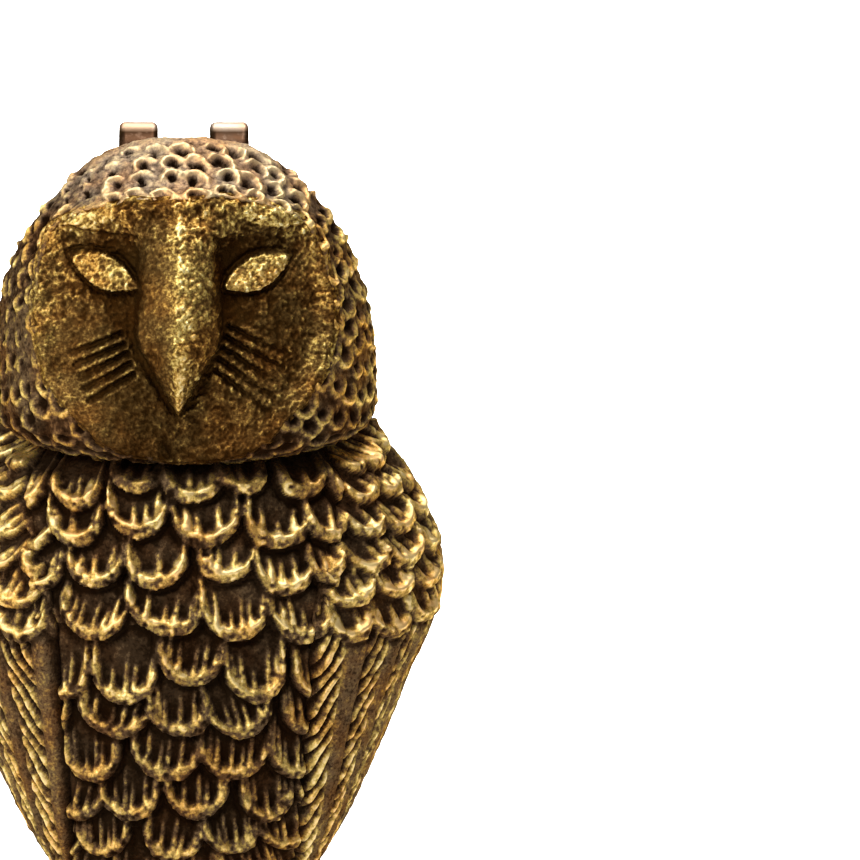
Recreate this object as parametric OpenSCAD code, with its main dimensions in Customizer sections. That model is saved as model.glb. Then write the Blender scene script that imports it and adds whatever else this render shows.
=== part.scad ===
// Owl door knocker: a hollow-backed owl casting that hangs from a hinge on a back plate.
// Frame: X to the right as seen from the front, Y towards the door, Z up.
// Origin: on the door face, midway between the two tapped fixing holes.
// Left and right in the names are as seen from the front.

/* [Owl] */
// Half width of the head
head_w = 27.6; // [24:0.2:30]
// Half height of the dome above the widest line of the head
head_h = 38.5; // [35:0.5:40]
// Depth of the head in front of the casting's rear rim
head_d = 27; // [24:0.5:29]
// Height of the widest line of the head
head_z = 27; // [25:0.5:29]
// Wall thickness of the hollow casting
wall = 3; // [2.4:0.2:4]
// Lowest point of the tail
tail_z = -68; // [-72:1:-64]

/* [Hinge] */
// Distance of the pin axis in front of the door
axis_d = 6; // [5.6:0.2:7]
// Height of the pin axis
axis_z = 61; // [60:0.5:62]
// Radius of the two hinge ears
ear_r = 5; // [4.6:0.1:5.2]
// Thickness of each hinge ear
ear_t = 5.5; // [5:0.1:6]
// Clear gap between the hinge ears
ear_gap = 7.2; // [7:0.1:8]
// Radius of the hinge pin
pin_r = 1.5; // [1.2:0.1:1.8]

/* [Plate] */
// Thickness of the back plate
plate_t = 4; // [3.5:0.1:4.4]
// Clear distance from the back plate to the casting's rear rim
rim_gap = 3; // [2.6:0.1:3.4]
// Distance between the two tapped fixing holes
fixing_pitch = 74; // [60:1:80]
// Radius of the tapped fixing holes
fixing_r = 2.5; // [2:0.5:3]
// Depth of the tapped fixing holes
fixing_depth = 9; // [7:0.5:10]

/* [Perch] */
// Length of the perch
perch_l = 44; // [36:1:50]
// Radius of the perch
perch_r = 4.2; // [3.8:0.1:4.6]

/* [Hidden] */
$fn = 48;

rim_d = plate_t + rim_gap;          // distance from the door to the casting's rear rim
crown_rim_d = axis_d + ear_r + 0.6; // the rim steps forward at the crown, clear of the ears
rim_rise_z = [40, 57];              // heights between which the rim steps forward
hollow_z = -50;                     // below this height the casting is solid
perch_d = 22.5;                     // distance from the door to the perch's centre line
perch_z = -53;
foot_x = 8;
strike_z = -57;                     // height of the striker and its anvil
running = 0.04;                     // radial clearance of the pin in the parts that turn on it
strike_gap = 0.3;                   // left between striker and anvil so that they only just part
washer_t = 0.5;
bronze = "#7a5a2c";
dark_brass = "#8a6a3c";
plain_brass = "#a4865a";

// Half width and front depth of the body below the head: [height, half width, depth in front of the rim].
body_stations = [
    [tail_z,  6.5,  2.6], [-64,  9.5,  6.5], [-56, 12.4, 8.8], [-48, 15.6, 11.0], [-43, 18.0, 15.5],
    [-36, 22.2, 20.5], [-24, 27.7, 23.0], [-12, 32.5, 24.6], [-3, 36.2, 25.4], [3, 36.9, 25.6],
    [10, 35.3, 25.0], [17, 31.5, 23.6], [22, 28.2, 22.8], [head_z, head_w, head_d]
];

// Smooth value at z of column k in the station list, by a cubic through the neighbouring stations.
function slope(s, i, k) =
    i <= 0 || i >= len(s) - 1 ? 0 : (s[i + 1][k] - s[i - 1][k]) / (s[i + 1][0] - s[i - 1][0]);
function span_at(s, z, i = 0) = i >= len(s) - 2 || z < s[i + 1][0] ? i : span_at(s, z, i + 1);
function cubic(p, q, mp, mq, t) =
    (2*t*t*t - 3*t*t + 1) * p + (t*t*t - 2*t*t + t) * mp + (3*t*t - 2*t*t*t) * q + (t*t*t - t*t) * mq;
function smooth_at(s, z, k) =
    let (i = span_at(s, z), step = s[i + 1][0] - s[i][0])
    cubic(s[i][k], s[i + 1][k], slope(s, i, k) * step, slope(s, i + 1, k) * step, (z - s[i][0]) / step);

function ease(t) = let (u = min(1, max(0, t))) u * u * (3 - 2 * u);
function rim_at(z) =
    rim_d + (crown_rim_d - rim_d) * ease((z - rim_rise_z[0]) / (rim_rise_z[1] - rim_rise_z[0]));

// Relief added in front of the smooth form: beak ridge, sunken eyes, wing fronts.
function bump(x, z, cx, cz, sx, sz) = exp(-pow((x - cx) / sx, 2) - pow((z - cz) / sz, 2));
function relief(x, z) =
    4.2 * bump(x, z, 0, 36, 4.2, 7) + 2.2 * bump(x, z, 0, 48, 4, 9)
    - 1.6 * bump(abs(x), z, 12, 47, 7, 6) + 0.9 * bump(abs(x), z, 12, 49, 4, 2.2)
    + 1.2 * bump(abs(x), z, 27, -2, 6, 22) - 1.0 * bump(abs(x), z, 20, -14, 2.2, 26);

section_power = 2.25; // how square the cross-sections are: 2 is an ellipse
dome_power = 2.25;    // the same for the dome of the head

// One cross-section as points from the left edge of the rim, round the front, to its right edge.
function section(w, d, z, cols, added) =
    let (r = rim_at(z), cut = min(1, max(0, (r - rim_d) / max(d, 0.001))))
    let (t0 = asin(pow(cut, section_power / 2)))
    [for (j = [0:cols])
        let (t = t0 + (180 - 2 * t0) * j / cols, c = cos(t), s = sin(t))
        let (x = -w * sign(c) * pow(abs(c), 2 / section_power))
        let (front = rim_d + d * pow(s, 2 / section_power))
        [x, -max(r, front + added * relief(x, z) * pow(s, 2)), z]];

// Every section of the outer skin (inset 0) or the hollow (inset wall), from the tail to the crown.
body_rows = 30;
head_rows = 16;
cols = 28;
function body_section(inset, i) =
    let (z = tail_z + (head_z - tail_z) * i / body_rows)
    let (w = smooth_at(body_stations, z, 1), d = smooth_at(body_stations, z, 2))
    let (open = ease((z - hollow_z) / 6))
    inset == 0 ? section(w, d, z, cols, 1) : section(w - inset, max(0.05, (d - inset) * open), z, cols, 0);
function crown_angle(inset) = acos(pow((crown_rim_d - rim_d) / (head_d - inset), dome_power / 2));
function head_section(inset, i) =
    let (phi = crown_angle(inset) * i / (head_rows + 1), in = pow(cos(phi), 2 / dome_power))
    let (z = head_z + (head_h - inset) * pow(sin(phi), 2 / dome_power))
    section((head_w - inset) * in, (head_d - inset) * in, z, cols, inset == 0 ? 1 : 0);
function crown_point(inset) =
    [0, -crown_rim_d, head_z + (head_h - inset) * pow(sin(crown_angle(inset)), 2 / dome_power)];
function skin(inset) = concat(
    [for (i = [0:body_rows - 1], p = body_section(inset, i)) p],
    [for (i = [0:head_rows], p = head_section(inset, i)) p],
    [crown_point(inset)]);

module owl_casting() {
    rows = body_rows + head_rows;   // index of the last full section
    n = cols + 1;
    outer = skin(0);
    inner = skin(wall);
    k = len(outer);
    tip = (rows + 1) * n;
    quads = [for (i = [0:rows - 1], j = [0:cols - 1])
        [i * n + j, i * n + j + 1, (i + 1) * n + j + 1, (i + 1) * n + j]];
    color(bronze) polyhedron(
        points = concat(outer, inner),
        faces = concat(
            [for (q = quads, f = [[q[0], q[3], q[2]], [q[0], q[2], q[1]]]) f],
            [for (q = quads, f = [[q[0] + k, q[1] + k, q[2] + k], [q[0] + k, q[2] + k, q[3] + k]]) f],
            [for (i = [0:rows - 1], f = [[i * n, k + i * n, k + (i + 1) * n],
                                         [i * n, k + (i + 1) * n, (i + 1) * n]]) f],
            [for (i = [0:rows - 1], f = [[i * n + cols, (i + 1) * n + cols, k + (i + 1) * n + cols],
                                         [i * n + cols, k + (i + 1) * n + cols, k + i * n + cols]]) f],
            [for (j = [0:cols - 1], f = [[j, j + 1, k + j + 1], [j, k + j + 1, k + j]]) f],
            [for (j = [0:cols - 1]) [rows * n + j, tip, rows * n + j + 1]],
            [for (j = [0:cols - 1]) [k + rows * n + j, k + rows * n + j + 1, k + tip]],
            [[rows * n, k + rows * n, k + tip], [rows * n, k + tip, tip]],
            [[rows * n + cols, tip, k + tip], [rows * n + cols, k + tip, k + rows * n + cols]]));
}

// A cylinder along X from x0 to x1.
module rod(x0, x1, r) {
    translate([x0, 0, 0]) rotate([0, 90, 0]) cylinder(r = r, h = x1 - x0);
}

// The same with its two rims rounded by the radius edge.
module round_rod(x0, x1, r, edge) {
    rod(x0 + edge, x1 - edge, r);
    rod(x0, x1, r - edge);
    for (x = [x0 + edge, x1 - edge])
        translate([x, 0, 0]) rotate([0, 90, 0]) rotate_extrude() translate([r - edge, 0]) circle(r = edge, $fn = 24);
}

// The tongue turns on the pin and is let into the wall of the casting under the crown.
tongue_hw = ear_gap / 2 - washer_t - 0.1;   // half width of the tongue between the washers
tongue_r = 2.7;
module hinge_tongue() {
    reach = 10;    // how far it runs forward of the pin
    drop = 5;      // its height where it meets the casting
    color(plain_brass) translate([0, -axis_d, axis_z]) difference() {
        union() {
            rod(-tongue_hw, tongue_hw, tongue_r);
            translate([-tongue_hw, -reach, 0.4 - drop]) cube([2 * tongue_hw, reach, drop]);
        }
        rod(-tongue_hw - 1, tongue_hw + 1, pin_r + running);
    }
}

// One foot: a short leg, let into the body, and three toes that close round the perch.
toe_r = 1.5;
toe_pitch = 3.1;
module foot(side) {
    bend_r = perch_r + toe_r - 0.4;   // the toes' centre line runs at this radius round the perch
    color(bronze) translate([side * foot_x, -perch_d, perch_z]) difference() {
        union() {
            for (toe = [-1:1])
                translate([toe * toe_pitch, 0, 0]) rotate([0, 90, 0]) rotate([0, 0, 195])
                    rotate_extrude(angle = 150) translate([bend_r, 0]) circle(r = toe_r);
            translate([0, 0, bend_r]) rod(-toe_pitch - toe_r, toe_pitch + toe_r, 2.1);
            translate([0, 3.2, perch_r]) cylinder(r1 = 4.2, r2 = 3.4, h = 7);
        }
        rod(-8, 8, perch_r);
    }
}

module perch() {
    knot_x = 15;
    color(bronze) translate([0, -perch_d, perch_z]) {
        rod(-perch_l / 2, perch_l / 2, perch_r);
        for (side = [-1, 1])
            translate([side * knot_x, 0, 0]) rod(-1.6, 1.6, perch_r + 0.7);
    }
}

// A round button with a spigot, along Y: the face is at face_d and the spigot runs the other way.
button_r = 4.5;
spigot_r = 1.8;
anvil_spigot = 3;
module striker() {
    spigot = 4;
    color(plain_brass) translate([0, -rim_d, strike_z]) rotate([-90, 0, 0]) {
        cylinder(r = button_r, h = rim_gap / 2 - strike_gap);
        translate([0, 0, -spigot]) cylinder(r = spigot_r, h = spigot);
    }
}
module anvil() {
    color(plain_brass) translate([0, -plate_t, strike_z]) rotate([90, 0, 0]) {
        cylinder(r = button_r, h = rim_gap / 2);
        translate([0, 0, -anvil_spigot]) cylinder(r = spigot_r, h = anvil_spigot);
    }
}

// The plate follows the casting's outline, a little inside it.
plate_inset = 3.2;
plate_z = [-64, 55];
function plate_half_width(z) =
    let (w = z < head_z ? smooth_at(body_stations, z, 1)
                        : head_w * pow(1 - pow((z - head_z) / head_h, dome_power), 1 / dome_power))
    let (top = max(0, (z - 43) / (plate_z[1] - 43)), bottom = max(0, (-52 - z) / (-52 - plate_z[0])))
    (w - plate_inset) * pow(1 - pow(top, 3), 1 / 3) * pow(1 - pow(bottom, 2.5), 1 / 2.5);
module plate_outline() {
    steps = 44;
    zs = [for (i = [1:steps - 1]) plate_z[0] + (plate_z[1] - plate_z[0]) * (1 - cos(180 * i / steps)) / 2];
    polygon(concat(
        [[0, plate_z[0]]], [for (z = zs) [plate_half_width(z), z]],
        [[0, plate_z[1]]], [for (i = [len(zs) - 1:-1:0]) [-plate_half_width(zs[i]), zs[i]]]));
}

module back_plate() {
    boss_r = 5.2;
    boss_h = fixing_depth + 1.5 - plate_t;
    ear_drop = 12;   // how far the foot of each ear runs down over the plate
    ear_edge = 0.9;  // rounding of the rims of each ear's barrel
    color(dark_brass) difference() {
        union() {
            rotate([90, 0, 0]) linear_extrude(plate_t) plate_outline();
            for (side = [-1, 1])
                translate([0, -plate_t, side * fixing_pitch / 2]) rotate([90, 0, 0])
                    cylinder(r = boss_r, h = boss_h);
            for (side = [-1, 1]) {
                x0 = side > 0 ? ear_gap / 2 : -ear_gap / 2 - ear_t;
                translate([0, -axis_d, axis_z]) round_rod(x0, x0 + ear_t, ear_r, ear_edge);
                translate([x0, -axis_d - ear_r, axis_z - ear_drop])
                    cube([ear_t, axis_d + ear_r, ear_drop]);
                translate([x0, -axis_d, axis_z - 1]) cube([ear_t, axis_d, 3]);
            }
        }
        translate([0, -axis_d, axis_z])
            rod(-ear_gap / 2 - ear_t - 1, ear_gap / 2 + ear_t + 1, pin_r);
        for (side = [-1, 1])
            translate([0, 1, side * fixing_pitch / 2]) rotate([90, 0, 0])
                cylinder(r = fixing_r, h = fixing_depth + 1);
        translate([0, -plate_t - 1, strike_z]) rotate([-90, 0, 0])
            cylinder(r = spigot_r, h = anvil_spigot + 1);
    }
}

pin_hl = ear_gap / 2 + ear_t;   // half length of the pin, flush with the ears
module hinge_pin() {
    color(plain_brass) translate([0, -axis_d, axis_z]) rod(-pin_hl, pin_hl, pin_r);
}

module washer(side) {
    mid = side * (ear_gap / 2 - 0.05 - washer_t / 2);
    color(plain_brass) translate([mid, -axis_d, axis_z]) difference() {
        rod(-washer_t / 2, washer_t / 2, tongue_r);
        rod(-washer_t, washer_t, pin_r + running);
    }
}

owl_casting();
hinge_tongue();
foot(-1);  // left_foot
foot(1);  // right_foot
perch();
striker();
back_plate();
hinge_pin();
washer(-1);  // left_washer
washer(1);  // right_washer
anvil();
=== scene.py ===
"""An owl door knocker in antique brass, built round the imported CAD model.

The owl has three kinds of piece: sheets (head, face, breast, wings and tail), each a thick closed shell on the
casting's smooth form; the rough cast body behind them; and the swept legs, toes, claws and perch. Feathers are
raised one by one, so every rim, barb and recess is geometry. Lengths are in millimetres until a mesh is made.
"""
import math

import bmesh
import bpy
import numpy as np
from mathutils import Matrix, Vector


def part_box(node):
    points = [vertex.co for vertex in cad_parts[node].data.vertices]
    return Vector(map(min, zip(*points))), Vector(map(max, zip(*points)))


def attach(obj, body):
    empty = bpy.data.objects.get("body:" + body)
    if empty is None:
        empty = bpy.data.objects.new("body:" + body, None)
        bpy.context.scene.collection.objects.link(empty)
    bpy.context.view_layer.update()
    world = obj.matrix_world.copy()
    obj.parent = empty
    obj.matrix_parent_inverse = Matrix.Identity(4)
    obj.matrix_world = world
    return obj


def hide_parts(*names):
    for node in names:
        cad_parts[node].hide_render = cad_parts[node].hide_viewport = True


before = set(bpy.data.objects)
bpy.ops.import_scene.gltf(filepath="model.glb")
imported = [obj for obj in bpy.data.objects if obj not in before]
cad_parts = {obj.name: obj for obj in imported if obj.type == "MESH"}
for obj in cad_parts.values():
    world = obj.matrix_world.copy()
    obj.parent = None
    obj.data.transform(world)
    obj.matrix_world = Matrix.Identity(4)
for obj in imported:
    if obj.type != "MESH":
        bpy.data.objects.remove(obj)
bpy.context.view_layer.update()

MM = 0.001
PITCH = 0.24  # distance between a sheet's grid lines
rng = np.random.RandomState(11)

# ---- the casting's smooth form

POWER = 2.25  # how square the form's sections are: 2 is an ellipse
SECTION_POINTS = 240  # points on half a section of the body
owl_high = np.array(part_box("owl_casting")[1]) / MM
perch_low, perch_high = (np.array(corner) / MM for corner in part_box("perch"))
RIM = -owl_high[1]  # from the door to the casting's rear rim
HEAD_W, HEAD_H, HEAD_D, HEAD_Z = 27.6, 38.5, 27.0, 27.0
CROWN_RIM = 11.6  # the rim steps forward to this distance at the crown
CHIN_H = 7.6  # the head's underside curves in within this height
SHELL = 3.0  # how deep behind the smooth form the sheets' backs lie
REAR_GAP = 0.2  # how far the sheets stay in front of the rear rim

# Height, half width and depth in front of the rim, from the tail up to the head's widest line.
STATIONS = np.array([
    (-68, 6.5, 2.6), (-64, 9.5, 6.5), (-56, 12.4, 8.8), (-48, 15.6, 11.0), (-43, 18.0, 15.5),
    (-36, 22.2, 20.5), (-24, 27.7, 23.0), (-12, 32.5, 24.6), (-3, 36.2, 25.4), (3, 36.9, 25.6),
    (10, 35.3, 25.0), (17, 31.5, 23.6), (22, 28.2, 22.8), (27, 27.6, 22.0)], float)


def ease(t):
    t = np.clip(t, 0, 1)
    return t * t * (3 - 2 * t)


def station(z, column):
    """The half width (1) or depth (2) of the body at height z, by a cubic through the stations."""
    zs, vs = STATIONS[:, 0], STATIONS[:, column]
    slopes = np.gradient(vs, zs)
    slopes[0] = slopes[-1] = 0
    i = np.clip(np.searchsorted(zs, z) - 1, 0, len(zs) - 2)
    step = zs[i + 1] - zs[i]
    t = (z - zs[i]) / step
    return ((2 * t**3 - 3 * t**2 + 1) * vs[i] + (t**3 - 2 * t**2 + t) * slopes[i] * step
            + (3 * t**2 - 2 * t**3) * vs[i + 1] + (t**3 - t**2) * slopes[i + 1] * step)


def rim_at(z):
    return RIM + (CROWN_RIM - RIM) * ease((z - 40) / 17)


def body_rows(heights):
    """For each height, the half section from its front to the rim as arc length, x and distance from the door,
    and its whole length."""
    turn = np.radians(np.linspace(90, 0, SECTION_POINTS))
    rows = []
    for z in heights:
        w, d = station(z, 1), station(z, 2)
        x = w * np.cos(turn) ** (2 / POWER)
        x[0] = 0
        y = RIM + d * np.sin(turn) ** (2 / POWER)
        y[-1] = RIM
        arc = np.concatenate([[0], np.cumsum(np.hypot(np.diff(x), np.diff(y)))])
        rows.append((arc, x, y))
    return rows, np.array([arc[-1] for arc, _, _ in rows])


def stay_forward(points, rim=RIM, gap=REAR_GAP):
    """Keep points a small gap in front of the casting's rear rim."""
    points[..., 1] = np.minimum(points[..., 1], -rim - gap)


def body_points(rows, heights, arcs):
    """Points at signed arc lengths from the front centre line. arcs has one row for each height."""
    points = np.zeros(arcs.shape + (3,))
    for i, (arc, x, y) in enumerate(rows):
        points[i, :, 0] = np.sign(arcs[i]) * np.interp(np.abs(arcs[i]), arc, x)
        points[i, :, 1] = -np.interp(np.abs(arcs[i]), arc, y)
        points[i, :, 2] = heights[i]
    return points


# ---- noise and small tools

HASH_X, HASH_Y, HASH_Z, HASH_SEED, HASH_MIX = 73856093, 19349663, 83492791, 26544357, 1274126177
LOW_32, LOW_16 = 0xFFFFFFFF, 0xFFFF


def noise(points, size, seed):
    """Smooth value noise from -1 to 1 in three dimensions, with lumps of about the given size."""
    q = points / size
    cell = np.floor(q).astype(np.int64)
    f = q - cell
    f = f * f * (3 - 2 * f)
    total = np.zeros(points.shape[:-1])
    for corner in np.ndindex(2, 2, 2):
        x, y, z = np.moveaxis(cell + corner, -1, 0)
        n = (x * HASH_X ^ y * HASH_Y ^ z * HASH_Z ^ seed * HASH_SEED) & LOW_32
        n = ((n ^ (n >> 13)) * HASH_MIX) & LOW_32
        n = (n ^ (n >> 16)) & LOW_16
        wx, wy, wz = np.moveaxis(np.where(corner, f, 1 - f), -1, 0)
        total += wx * wy * wz * n / LOW_16
    return 2 * total - 1


def bell(*offsets):
    """1 where every offset is 0, falling smoothly to nothing round it."""
    return np.exp(-sum(offset ** 2 for offset in offsets))


def unit(vectors):
    return vectors / np.linalg.norm(vectors, axis=-1, keepdims=True)


def travelled(path):
    """The distance from the first point along a path, or down each column of a grid of points."""
    steps = np.linalg.norm(np.diff(path, axis=0), axis=-1)
    return np.concatenate([0 * steps[:1], np.cumsum(steps, axis=0)])


def blurred(field, radius):
    """The field averaged over about radius grid steps each way."""
    reach = max(1, int(radius))
    taps = np.exp(-0.5 * (np.arange(-2 * reach, 2 * reach + 1) / reach) ** 2)
    taps /= taps.sum()
    out = field
    for axis in (0, 1):
        pads = [(2 * reach, 2 * reach) if a == axis else (0, 0) for a in (0, 1)]
        padded = np.pad(out, pads, mode="edge")
        count = out.shape[axis]
        out = sum(tap * np.take(padded, range(k, k + count), axis=axis) for k, tap in enumerate(taps))
    return out


def normals_of(points):
    """Unit normals of a grid of points."""
    n = np.cross(np.gradient(points, axis=1), np.gradient(points, axis=0))
    return n / np.maximum(np.linalg.norm(n, axis=-1, keepdims=True), 1e-9)


# ---- meshes

BACK_TONE = 0.15  # tone of the shells' backs
FRONT_UV, BACK_UV = (0.01, 0.82), (0.85, 0.99)  # the heights of the map that fronts and backs fill
WELD = 0.004  # points closer than this become one


def new_object(name, vertices, faces, tone=None, uvs=None):
    """A smooth-shaded object from points in millimetres, with its tone attribute and its map."""
    mesh = bpy.data.meshes.new(name)
    mesh.from_pydata((np.asarray(vertices) * MM).tolist(), [], faces)
    mesh.validate()
    if tone is not None:
        layer = mesh.attributes.new("tone", "FLOAT", "POINT")
        layer.data.foreach_set("value", np.asarray(tone, dtype=np.float32))
    if uvs is not None:
        layer = mesh.uv_layers.new(name="OFBake")
        corner = np.zeros(len(mesh.loops), dtype=np.int32)
        mesh.loops.foreach_get("vertex_index", corner)
        layer.data.foreach_set("uv", np.asarray(uvs, dtype=np.float32)[corner].ravel())
    mesh.polygons.foreach_set("use_smooth", np.full(len(mesh.polygons), True))
    obj = bpy.data.objects.new(name, mesh)
    bpy.context.scene.collection.objects.link(obj)
    return obj


def shell(name, front, tone, behind, coarse=6, closed_round=False):
    """A closed shell: the fine front grid, a coarse grid of the points behind it, and faces that join them."""
    nv, nu = front.shape[:2]
    fine = np.arange(nv * nu).reshape(nv, nu)
    rows = list(range(0, nv - 1, coarse)) + [nv - 1]
    cols = list(range(0, nu - 1, coarse)) + [nu - 1]
    back_points = behind[np.ix_(rows, cols)]
    back = nv * nu + np.arange(len(rows) * len(cols)).reshape(len(rows), len(cols))
    vertices = np.concatenate([front.reshape(-1, 3), back_points.reshape(-1, 3)])
    a, b, c, d = fine[:-1, :-1], fine[:-1, 1:], fine[1:, 1:], fine[1:, :-1]
    faces = np.stack([a, b, c, d], -1).reshape(-1, 4).tolist()
    a, b, c, d = back[:-1, :-1], back[1:, :-1], back[1:, 1:], back[:-1, 1:]
    faces += np.stack([a, b, c, d], -1).reshape(-1, 4).tolist()
    for k, (lo, hi) in enumerate(zip(cols, cols[1:])):
        faces.append(list(fine[0, lo:hi + 1][::-1]) + [back[0, k], back[0, k + 1]])
        faces.append(list(fine[-1, lo:hi + 1]) + [back[-1, k + 1], back[-1, k]])
    if not closed_round:
        for k, (lo, hi) in enumerate(zip(rows, rows[1:])):
            faces.append(list(fine[lo:hi + 1, 0]) + [back[k + 1, 0], back[k, 0]])
            faces.append(list(fine[lo:hi + 1, -1][::-1]) + [back[k, -1], back[k + 1, -1]])
    if np.sum(normals_of(front) * (front - behind)) < 0:
        faces = [face[::-1] for face in faces]
    all_tone = np.concatenate([tone.ravel(), np.full(back.size, BACK_TONE)])
    grids = [np.meshgrid(np.linspace(0.01, 0.99, across), np.linspace(*part, along))
             for across, along, part in ((nu, nv, FRONT_UV), (len(cols), len(rows), BACK_UV))]
    uvs = np.concatenate([np.stack(grid, -1).reshape(-1, 2) for grid in grids])
    obj = new_object(name, vertices, faces, all_tone, uvs)
    if closed_round:
        bm = bmesh.new()
        bm.from_mesh(obj.data)
        bmesh.ops.remove_doubles(bm, verts=bm.verts, dist=WELD * MM)
        bm.to_mesh(obj.data)
        bm.free()
    return obj


def tube(name, path, radii, sides, bumps, tone):
    """A closed tube swept along a path. bumps and tone give the relief and the tone round it at each step."""
    steps = travelled(path)
    along = unit(np.gradient(path, axis=0))
    side = np.cross(along[0], (0, 0, 1.0) if abs(along[0][2]) < 0.9 else (1.0, 0, 0))
    vertices, tones = [], []
    turn = np.linspace(0, 2 * math.pi, sides, endpoint=False)
    for i in range(len(path)):
        side = unit(side - along[i] * side.dot(along[i]))
        up = np.cross(along[i], side)
        r = radii[i] + bumps(steps[i], turn)
        vertices.append(path[i] + r[:, None] * (np.cos(turn)[:, None] * side + np.sin(turn)[:, None] * up))
        tones.append(tone(steps[i], turn))
    n = len(path)
    vertices = np.concatenate(vertices + [path[:1], path[-1:]])
    tones = np.clip(np.concatenate(tones + [[0.5], [0.5]]), 0, 1)
    faces = []
    for i in range(n - 1):
        for k in range(sides):
            m = (k + 1) % sides
            faces.append([i * sides + k, i * sides + m, (i + 1) * sides + m, (i + 1) * sides + k])
    for k in range(sides):
        m = (k + 1) % sides
        faces.append([n * sides, m, k])
        faces.append([n * sides + 1, (n - 1) * sides + k, (n - 1) * sides + m])
    return new_object(name, vertices, faces, tones)


# ---- feathers

class Sheet:
    """A developed sheet: place starts with its coordinates across and along, up is the height raised from the
    form, and the gilt field is how rubbed the metal is, with painted light and shade laid on it in places."""

    def __init__(self, place):
        self.across, self.along = place[..., 0], place[..., 1]
        self.up = np.zeros(self.across.shape)
        self.gilt_and_painted_light = np.full(self.across.shape, 0.35)
        self.ragged = noise(place, 1.25, 5) + 0.5 * noise(place, 0.62, 6)
        self.speck = noise(place, 0.55, 7) + 0.6 * noise(place, 0.95, 8)

    def local(self, a, b, angle, width, length):
        """Coordinates in a feather: p across it from -1 to 1, q along it from 0 at the root to 1 at the tip."""
        dx, dz = math.sin(angle), -math.cos(angle)
        along = (self.across - a) * dx + (self.along - b) * dz
        aside = (self.across - a) * -dz + (self.along - b) * dx
        return aside / (width / 2), 1 + along / length

    def plume(self, a, b, angle, width, length, recess, barbs, reach, seed, rim=0.5, lift=0.9, lip=0.16,
              fill=0.0):
        """A cupped feather with its tip at a, b: a crescent rim, spikes that climb from it and recesses."""
        p, q = self.local(a, b, angle, width, length)
        half = width / 2
        bend = 1 - min(0.9, half * 1.02 / length)
        tip = np.maximum(0, (q - bend) / (1 - bend))
        tipness = ease((q - 0.5) / 0.5)
        edge = (1 - np.hypot(p, tip)) * half + 0.16 * self.ragged + 0.06 * half * np.sin(2.3 * p + seed * 1.7)
        inside = (edge > 0) & (q > 0)
        crest_at = 0.42 + 0.05 * half + lip * half * tipness + 0.13 * self.ragged
        arm = ease((q - 0.26 - 0.14 * np.sin(seed * 3) * np.sign(p)) / 0.34)
        bowl = ease((edge - crest_at) / (0.55 + 0.75 * tipness))
        rise = ease(edge / crest_at) * (1 - bowl)
        inward = edge > crest_at
        # Near the tip the crest's gilt spreads further up the rim's inner side, which faces up, than down its
        # outer slope: the rubbed rim with painted light on its upward side.
        soft = 0.28 + 0.08 * self.speck + np.where(inward, 0.10 + 0.72 * tipness, 0.10)
        crest = bell((edge - crest_at) / soft) * (0.2 + 0.8 * arm)
        spike, root = np.zeros(p.shape), np.zeros(p.shape)
        for j in range(barbs):
            pj = ((j + 0.5) / barbs * 2 - 1) * 0.86 + 0.35 / barbs * math.sin(seed * 5 + j * 2.1)
            room = max(0.05, (1 - (0.42 + (0.05 + lip) * half) / half) ** 2 - pj * pj)
            climb = (bend + (1 - bend) * math.sqrt(room) - q) * length
            far = reach * (0.75 + 0.25 * math.sin(seed * 7 + j * 3.7))
            t = np.clip(climb / far, 0, 1)
            thick = (1.02 - 0.50 * t) * min(1, 2.5 / barbs + 0.25)
            away = np.abs(p - pj * (1 + 0.10 * t)) * half
            one = ease((thick - away) / (0.7 * thick)) * ease((far * 1.3 - climb) / (0.6 * far))
            root = np.maximum(root, one * (1 - t))
            spike = np.maximum(spike, one * (1 - 0.5 * t))
        height = (lift * q + rim * rise * (0.3 + 0.7 * arm)
                  - recess * bowl * (0.5 + 0.5 * q) * (1 - 0.95 * spike))
        self.up = np.where(inside, height + 0.23 * self.speck * np.maximum(crest, root), self.up)
        value = (0.27 + crest * (0.44 - 0.12 * bowl)
                 + bowl * (0.38 * spike + 0.22 * root - 0.13 + fill)
                 + (0.06 + 0.42 * np.maximum(crest, root)) * self.speck)
        self.gilt_and_painted_light = np.where(inside, value, self.gilt_and_painted_light)
        # Just outside each feather's outline the surface dips into a groove, and its colour is darkened there
        # as a painted shadow under the feather's edge.
        outside = bell((edge + 0.45) / 0.5) * (q > 0.3) * (~inside)
        self.up -= 0.38 * outside
        self.gilt_and_painted_light -= 0.20 * outside


def paint_pit(sheet, p, q, width, length, seed):
    """A small scale of the head: an arched rim over a deep pit, which a strand may split."""
    rim, depth, lift = 0.52, 1.30, 0.30
    half = width / 2
    bend = 1 - min(0.85, half * 1.1 / length)
    tip = np.maximum(0, (q - bend) / (1 - bend))
    edge = (1 - np.hypot(p, tip)) * half + 0.20 * sheet.ragged
    inside = (edge > 0) & (q > 0)
    ridge = bell((edge - 0.60) / (0.46 + 0.12 * sheet.ragged)) * ease((q - 0.40) / 0.35)
    middle = 0.64 + 0.08 * math.sin(seed * 5.0)
    split = np.abs(p - 0.14 * math.sin(seed * 3.0) + 0.12 * sheet.ragged) - 0.11 - 0.11 * math.sin(seed * 4.0)
    hole = bell(split / 0.22, (q - middle - 0.06 * sheet.speck) / 0.115)
    height = lift * q + rim * ridge - depth * hole - 0.16 * (1 - ridge) * q + 0.13 * sheet.speck
    sheet.up = np.where(inside, height, sheet.up)
    value = 0.24 + (0.52 + 0.20 * sheet.ragged) * ridge - 0.95 * hole + 0.18 * sheet.speck
    sheet.gilt_and_painted_light = np.where(inside, value, sheet.gilt_and_painted_light)


def body_sheet(rows, heights, arcs):
    """The body's smooth form under a sheet, its outward normals and the sheet."""
    base = body_points(rows, heights, arcs)
    return base, -normals_of(base), Sheet(np.stack([arcs, base[..., 2], 0 * arcs], -1))


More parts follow.
